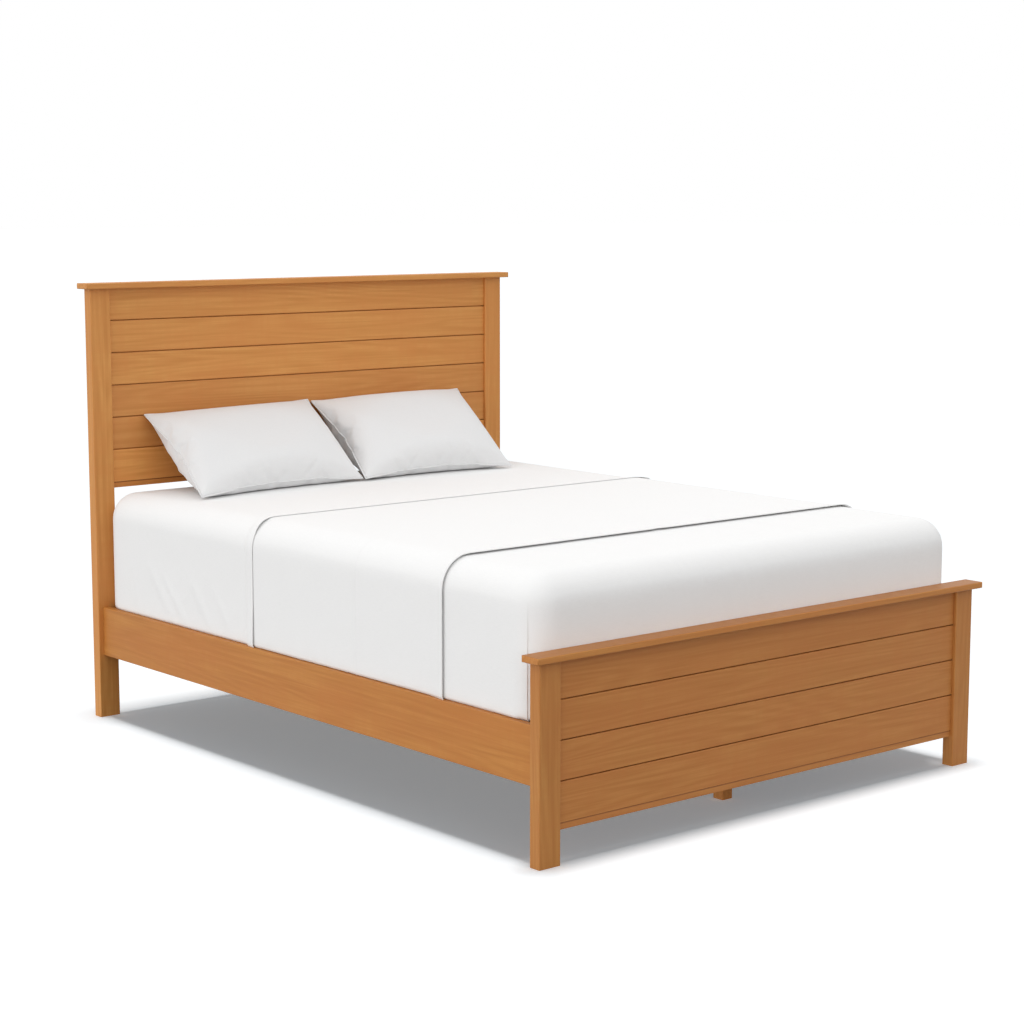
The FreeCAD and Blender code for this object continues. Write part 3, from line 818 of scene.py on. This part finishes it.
def make_top_sheet():
    """The top sheet over the head end, its turned-down edge lapped over the cover's fold."""
    piece = bedding_form("top_sheet_cloth", "top_sheet")
    trim_hem(piece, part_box("top_sheet")[0].z)
    score_along(piece, [lap_start + lap_slope * step / 4 for step in range(5)])
    cut_end(piece, sheet_edge_place, -1)
    stop_editing()
    raise_folds(piece, SHEET_FOLDS)
    lap_over_cover(piece)
    resume_editing(piece)
    hem = cord_along(piece, sheet_hem_radius)
    thicken(piece, sheet_thickness)
    piece = join([piece, hem])
    finish_soft(piece, "top_sheet", "mattress", SHEETING)


def lap_over_cover(sheet):
    """Raises the sheet's edge over the cover's fold, and a little more where it stands off."""
    rows = places(sheet)
    lap = 1 - eased_step((rows[:, 1] - lap_start) / lap_slope)
    near_edge = np.clip(1 - (rows[:, 1] - sheet_edge_place) / edge_reach, 0, 1) ** 2
    side = past_side(rows, side_start, side_ease)
    low = side * (1 - eased_step((rows[:, 2] - rail_top) / low_edge_height))
    round_bend = side * np.exp(-((rows[:, 2] - bend_edge_place) / bend_edge_reach) ** 2)
    loose = near_edge * (edge_lift + low_edge_lift * low + bend_edge_lift * round_bend)
    above = np.clip((rows[:, 2] - rail_top + rail_ease) / rail_ease, 0, 1)
    moved = rows + directions(sheet) * ((lap * lap_lift + loose) * above)[:, None]
    moved[:, 1] -= lap_run * side * near_edge
    place_points(sheet, moved)


def make_cover():
    """The cover and its turned-back head end."""
    under = bedding_form("cover_cloth", "cover")
    trim_hem(under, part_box("cover")[0].z)
    score_along(under, (corner_flap_place, corner_flap_place - corner_flap_step))
    cut_end(under, cover_fold_place, 1)
    roll = cord_along(under, cover_thickness)
    raise_folds(under, COVER_FOLDS)
    lay_corner_flaps(under)
    thicken(under, cover_thickness)
    band = bedding_form("cover_band", "band")
    trim_hem(band, rail_top)
    cut_off(band, (0, cover_fold_place, 0), (0, 1, 0))
    score_along(band, [free_edge_place + hem_reach * share for share in (2, 1, 0.5, 0.25)])
    score_along(band, [crease_place + crease_width * side for side in (-1, 0, 1)])
    cut_end(band, free_edge_place, -1)
    stop_editing()
    raise_folds(band, COVER_FOLDS)
    press_crease(band)
    lift_free_edge(band)
    resume_editing(band)
    hem = cord_along(band, hem_radius)
    thicken(band, band_thickness)
    piece = join([under, band, roll, hem])
    finish_soft(piece, "cover", "mattress", COVER_CLOTH)


def lay_corner_flaps(cover):
    """The folded corners at the foot: the side's flap ends in an upright edge short of the
    corner, and the tuck under it ends in another on the foot face."""
    rows = places(cover)
    past = rows[:, 1] - corner_flap_place
    side = (past > -corner_flap_step / 2) * np.clip(1 - past / corner_flap_fade, 0, 1)
    side = side * (np.abs(rows[:, 0]) > side_face_place)
    foot = past_side(rows, corner_flap_reach, corner_flap_ease) * (rows[:, 1] < foot_face_place)
    upward = np.clip((corner_flap_top - rows[:, 2]) / corner_flap_fade, 0, 1)
    above = rows[:, 2] > rail_top + rail_gap
    lift = corner_flap_lift * (side + foot) * upward * above
    place_points(cover, rows + directions(cover) * lift[:, None])


def press_crease(band):
    """The sharp crease down the sides that is left from folding the cover away."""
    rows = places(band)
    on_crease = np.abs(rows[:, 1] - crease_place) < crease_width / 4
    lift = crease_height * on_crease * past_side(rows, crease_start, crease_ease)
    place_points(band, rows + directions(band) * lift[:, None])


def lift_free_edge(band):
    """Raises the turned-back end a little off the cover below, towards its free edge."""
    rows = places(band)
    share = np.clip(1 - (rows[:, 1] - free_edge_place) / (2 * hem_reach), 0, 1) ** 2
    place_points(band, rows + directions(band) * (share * hem_lift)[:, None])


def finish_soft(piece, node, body, material):
    """Shades a soft piece, gives it its cloth and its body, and hides its node."""
    smooth_shaded(piece, cloth_shading)
    piece.data.materials.clear()
    piece.data.materials.append(material)
    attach(piece, body)
    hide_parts(node)


def quilt(piece):
    """Presses diagonal lines of stitching into the flat faces, so that soft diamonds stand up."""
    rows, out = places(piece), directions(piece)
    first = np.abs(np.sin(np.pi * (rows[:, 0] + rows[:, 1]) / quilt_spacing))
    second = np.abs(np.sin(np.pi * (rows[:, 0] - rows[:, 1]) / quilt_spacing))
    sunk = quilt_depth * (1 - np.sqrt(first * second)) * eased_step(np.abs(out[:, 2]) * 4 - 3)
    place_points(piece, rows - out * sunk[:, None])


def bind_borders(piece, heights):
    """Draws the sides in along level lines and lays a round tape into each."""
    for height in heights:
        score(piece, (0, 0, height), (0, 0, 1))
    rows = places(piece)
    pinch = sum(np.exp(-((rows[:, 2] - height) / tape_pinch) ** 2) for height in heights)
    level = directions(piece) * (1, 1, 0)
    place_points(piece, rows - level * (tape_inset * pinch)[:, None])
    tapes = []
    for height in heights:
        start_editing(piece)
        pick_edges(piece, lambda a, b: max(abs(a.z - height), abs(b.z - height)) < on_tape_line)
        tapes.append(cord_along(piece, tape_radius))
    return join([piece] + tapes)


def make_mattress():
    """The mattress, firm, quilted and bound with tape along the top and the bottom border."""
    low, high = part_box("mattress")
    piece = rounded_block("mattress_pad", low, high, corner_radius, border_radius)
    even_mesh(piece, pad_step)
    quilt(piece)
    piece = bind_borders(piece, (low.z + lower_tape_height, high.z - border_radius))
    finish_soft(piece, "mattress", "mattress", TICKING)


def make_foundation():
    """The padded foundation under the mattress, bound with tape like it."""
    low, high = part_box("foundation")
    piece = rounded_block("foundation_pad", low, high, foundation_corner, foundation_border)
    even_mesh(piece, pad_step)
    piece = bind_borders(piece, (low.z + lower_tape_height, high.z - lower_tape_height))
    finish_soft(piece, "foundation", "foundation", TICKING)


def sewn_case():
    """Two panels of cloth, sewn together along their edges and hardly parted."""
    bpy.ops.object.select_all(action="DESELECT")
    bpy.ops.mesh.primitive_grid_add(x_subdivisions=case_columns, y_subdivisions=case_rows, size=1)
    panel = bpy.context.object
    panel.name = panel.data.name = "pillow_case"
    panel.scale = case_size
    bpy.ops.object.transform_apply(location=True, rotation=True, scale=True)
    seam = panel.vertex_groups.new(name="seam")
    half = np.array(case_size[:2]) / 2
    rows = places(panel)
    inward = (half - np.abs(rows[:, :2])).min(axis=1)
    seam.add(np.flatnonzero(inward < on_line).tolist(), 1.0, "REPLACE")
    rows[:, 2] = case_depth * (inward > on_line)
    place_points(panel, rows)
    back = panel.copy()
    back.data = panel.data.copy()
    bpy.context.collection.objects.link(back)
    rows[:, 2] *= -1
    place_points(back, rows)
    start_editing(back)
    bpy.ops.mesh.select_all(action="SELECT")
    bpy.ops.mesh.flip_normals()
    stop_editing()
    case = join([panel, back])
    start_editing(case)
    bpy.ops.mesh.select_all(action="SELECT")
    bpy.ops.mesh.remove_doubles(threshold=same_seam_point)
    stop_editing()
    return case


def blow_up(case):
    """Fills the case until it is plump, as cloth that is pressed from inside."""
    select_only(case)
    cloth = case.modifiers.new("filling", "CLOTH")
    rules = cloth.settings
    rules.quality = 6
    rules.mass = 0.3
    rules.tension_stiffness = 25
    rules.compression_stiffness = 25
    rules.shear_stiffness = 8
    rules.bending_stiffness = 1.2
    rules.use_pressure = True
    rules.uniform_pressure_force = case_pressure
    rules.effector_weights.gravity = 0
    cloth.collision_settings.use_collision = False
    cloth.point_cache.frame_end = case_frames
    scene = bpy.context.scene
    for frame_number in range(1, case_frames + 1):
        scene.frame_set(frame_number)
    bpy.ops.object.modifier_apply(modifier=cloth.name)
    scene.frame_set(1)


def draw_share(axis, rows):
    """How much of its draw the seam nearest to each point keeps."""
    if axis == 0:
        return seam_draw_shares["side"]
    return np.where(rows[:, 1] > 0, seam_draw_shares["upper"], seam_draw_shares["lower"])


def ease_seams(case, flat):
    """Lets out part of the draw of the seams, so that the case keeps nearly straight sides."""
    rows = places(case)
    half = np.array(case_size[:2]) / 2
    corner = np.abs(rows[:, :2]).max(axis=0)
    eased = rows.copy()
    for axis in (0, 1):
        on_side = np.abs(np.abs(flat[:, axis]) - half[axis]) < on_line
        across = np.abs(rows[on_side, 1 - axis])
        order = np.argsort(across)
        out = np.abs(rows[on_side, axis])
        reach = np.interp(np.abs(rows[:, 1 - axis]), across[order], out[order])
        draw = (corner[axis] - reach) * draw_share(axis, rows)
        eased[:, axis] *= (corner[axis] - draw) / reach
    place_points(case, eased)


def eased_front(rise, along, above, wide, high, upper_slope):
    """The front's rise, kept to gentle slopes near the upper seam and the side seams."""
    limits = (rise, (high - above) * upper_slope, (wide - along) * right_slope, along * left_slope)
    return sum(np.maximum(limit, 1e-6) ** -4 for limit in limits) ** -0.25


def pillow_from(case, side, mirrored):
    """One pillow, laid between its four corners on the bed and against the headboard."""
    piece = case.copy()
    piece.data = case.data.copy()
    bpy.context.collection.objects.link(piece)
    piece.name = piece.data.name = f"pillow_{side}_case"
    rows = places(piece)
    half = np.abs(rows[:, :2]).max(axis=0)
    across, up = ((rows[:, :2] / half + 1) / 2).T
    if mirrored:
        across = 1 - across
        rows[:, 2] *= -1
    tips = np.array(pillow_tips[side])
    lower = tips[0] + (tips[1] - tips[0]) * across[:, None]
    lower[:, 2] += lower_seam_lift * np.sin(np.pi * across)
    upper = tips[2] + (tips[3] - tips[2]) * across[:, None]
    out = np.cross(tips[1] - tips[0], tips[2] - tips[0])
    out /= np.linalg.norm(out)
    fullness = np.abs(rows[:, 2]) / np.abs(rows[:, 2]).max()
    rise = pillow_crown * fullness ** pillow_fullness
    wide, high = np.linalg.norm(tips[1] - tips[0]), np.linalg.norm(tips[2] - tips[0])
    front = eased_front(rise, across * wide, up * high, wide, high, upper_slopes[side])
    rise = np.where(rows[:, 2] > 0, front, -rise)
    laid = lower + (upper - lower) * up[:, None] + out * rise[:, None]
    laid[:, 1] = np.minimum(laid[:, 1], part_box("head_plank_6")[0].y - headboard_clearance)
    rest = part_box("mattress")[1].z + LAYERS["top_sheet"][0] + pillow_clearance
    near_seam = np.clip(1 - up * high / lower_gap_depth, 0, 1)
    gap = lower_gap_height * near_seam * np.sin(np.pi * across)
    laid[:, 2] = np.maximum(laid[:, 2], rest + gap)
    place_points(piece, laid)
    start_editing(piece)
    bpy.ops.mesh.select_mode(type="VERT")
    bpy.ops.object.vertex_group_set_active(group="seam")
    bpy.ops.object.vertex_group_select()
    piping = cord_along(piece, piping_radius)
    select_only(piece)
    finer = piece.modifiers.new("finer", "SUBSURF")
    finer.levels = finer.render_levels = 1
    bpy.ops.object.modifier_apply(modifier=finer.name)
    piece = join([piece, piping])
    piece.vertex_groups.clear()
    finish_soft(piece, f"pillow_{side}", f"pillow_{side}", PILLOW_CLOTH)


def make_pillows():
    """Two pillows, sewn and filled as one case and then laid as two."""
    case = sewn_case()
    flat = places(case)
    blow_up(case)
    ease_seams(case, flat)
    pillow_from(case, "left", False)
    pillow_from(case, "right", True)
    bpy.data.objects.remove(case)


STEEL = steel("zinc_steel")
TICKING = ticking("ticking")
SHEETING = cloth("sheeting", cloth_white, cloth_rumple)
COVER_CLOTH = cloth("cover_cloth", cloth_white, cloth_rumple)
PILLOW_CLOTH = cloth("pillow_cloth", pillow_white, pillow_rumple)

dress_hard_pieces()
make_foundation()
make_mattress()
make_bottom_sheet()
make_cover()
make_top_sheet()
make_pillows()


# Floor, light and camera


def make_floor():
    """A plain pale floor that keeps the bed's shadow."""
    bpy.ops.object.select_all(action="DESELECT")
    bpy.ops.mesh.primitive_plane_add(size=floor_size, location=(0, 0, 0))
    floor = bpy.context.object
    floor.name = "floor"
    material, tree, shader, position = new_material("floor", 1.0, 0.0)
    path = tree.nodes.new("ShaderNodeLightPath")
    seen = arithmetic(tree, "MAXIMUM", path.outputs["Is Camera Ray"], path.outputs["Is Glossy Ray"])
    colour = blend_colours(tree, seen, floor_bounced, floor_seen)
    tree.links.new(colour, shader.inputs["Base Color"])
    shader.inputs["Emission Color"].default_value = floor_glow_colour
    glow = arithmetic(tree, "MULTIPLY", seen, floor_glow)
    tree.links.new(glow, shader.inputs["Emission Strength"])
    floor.data.materials.append(material)
    return floor


def add_lamp(name, tilt, turn, strength, spread):
    """A far lamp that shines straight down, tilted and then turned."""
    bpy.ops.object.light_add(type="SUN", rotation=(tilt, 0, turn))
    lamp = bpy.context.object
    lamp.name = name
    lamp.data.energy = strength
    lamp.data.angle = spread
    return lamp


def make_light(floor):
    """The sky, which shows white behind the bed, and the lamps."""
    scene = bpy.context.scene
    scene.world = bpy.data.worlds.new("sky")
    scene.world.use_nodes = True
    tree = scene.world.node_tree
    background = tree.nodes["Background"]
    background.inputs["Color"].default_value = (1, 1, 1, 1)
    path = tree.nodes.new("ShaderNodeLightPath")
    strength = ranged(tree, path.outputs["Is Camera Ray"], 0.0, 1.0, sky_strength, 1.0)
    tree.links.new(strength, background.inputs["Strength"])
    overhead = add_lamp("overhead_lamp", 0.0, 0.0, floor_lamp_strength, floor_lamp_spread)
    overhead.light_linking.receiver_collection = linked("lit_floor", floor, "INCLUDE")
    all_but_floor = linked("lit_bed", floor, "EXCLUDE")
    dome = add_lamp("dome_lamp", 0.0, 0.0, dome_strength, dome_spread)
    dome.light_linking.receiver_collection = all_but_floor
    left = add_lamp("left_lamp", left_tilt, left_turn, left_strength, left_spread)
    left.light_linking.receiver_collection = all_but_floor
    left.light_linking.blocker_collection = all_but_floor


def linked(name, piece, state):
    """What a lamp lights: this piece alone, or all but this piece."""
    lit = bpy.data.collections.new(name)
    lit.objects.link(piece)
    lit.collection_objects[0].light_linking.link_state = state
    return lit


def make_camera():
    """The camera that sees the bed as in the photograph."""
    bpy.ops.object.camera_add(location=camera_place, rotation=(camera_tilt, 0, camera_turn))
    camera = bpy.context.object
    camera.data.lens = camera_lens
    camera.data.clip_end = floor_size * 2
    bpy.context.scene.camera = camera


make_light(make_floor())
make_camera()
bpy.context.scene.view_settings.view_transform = "Standard"
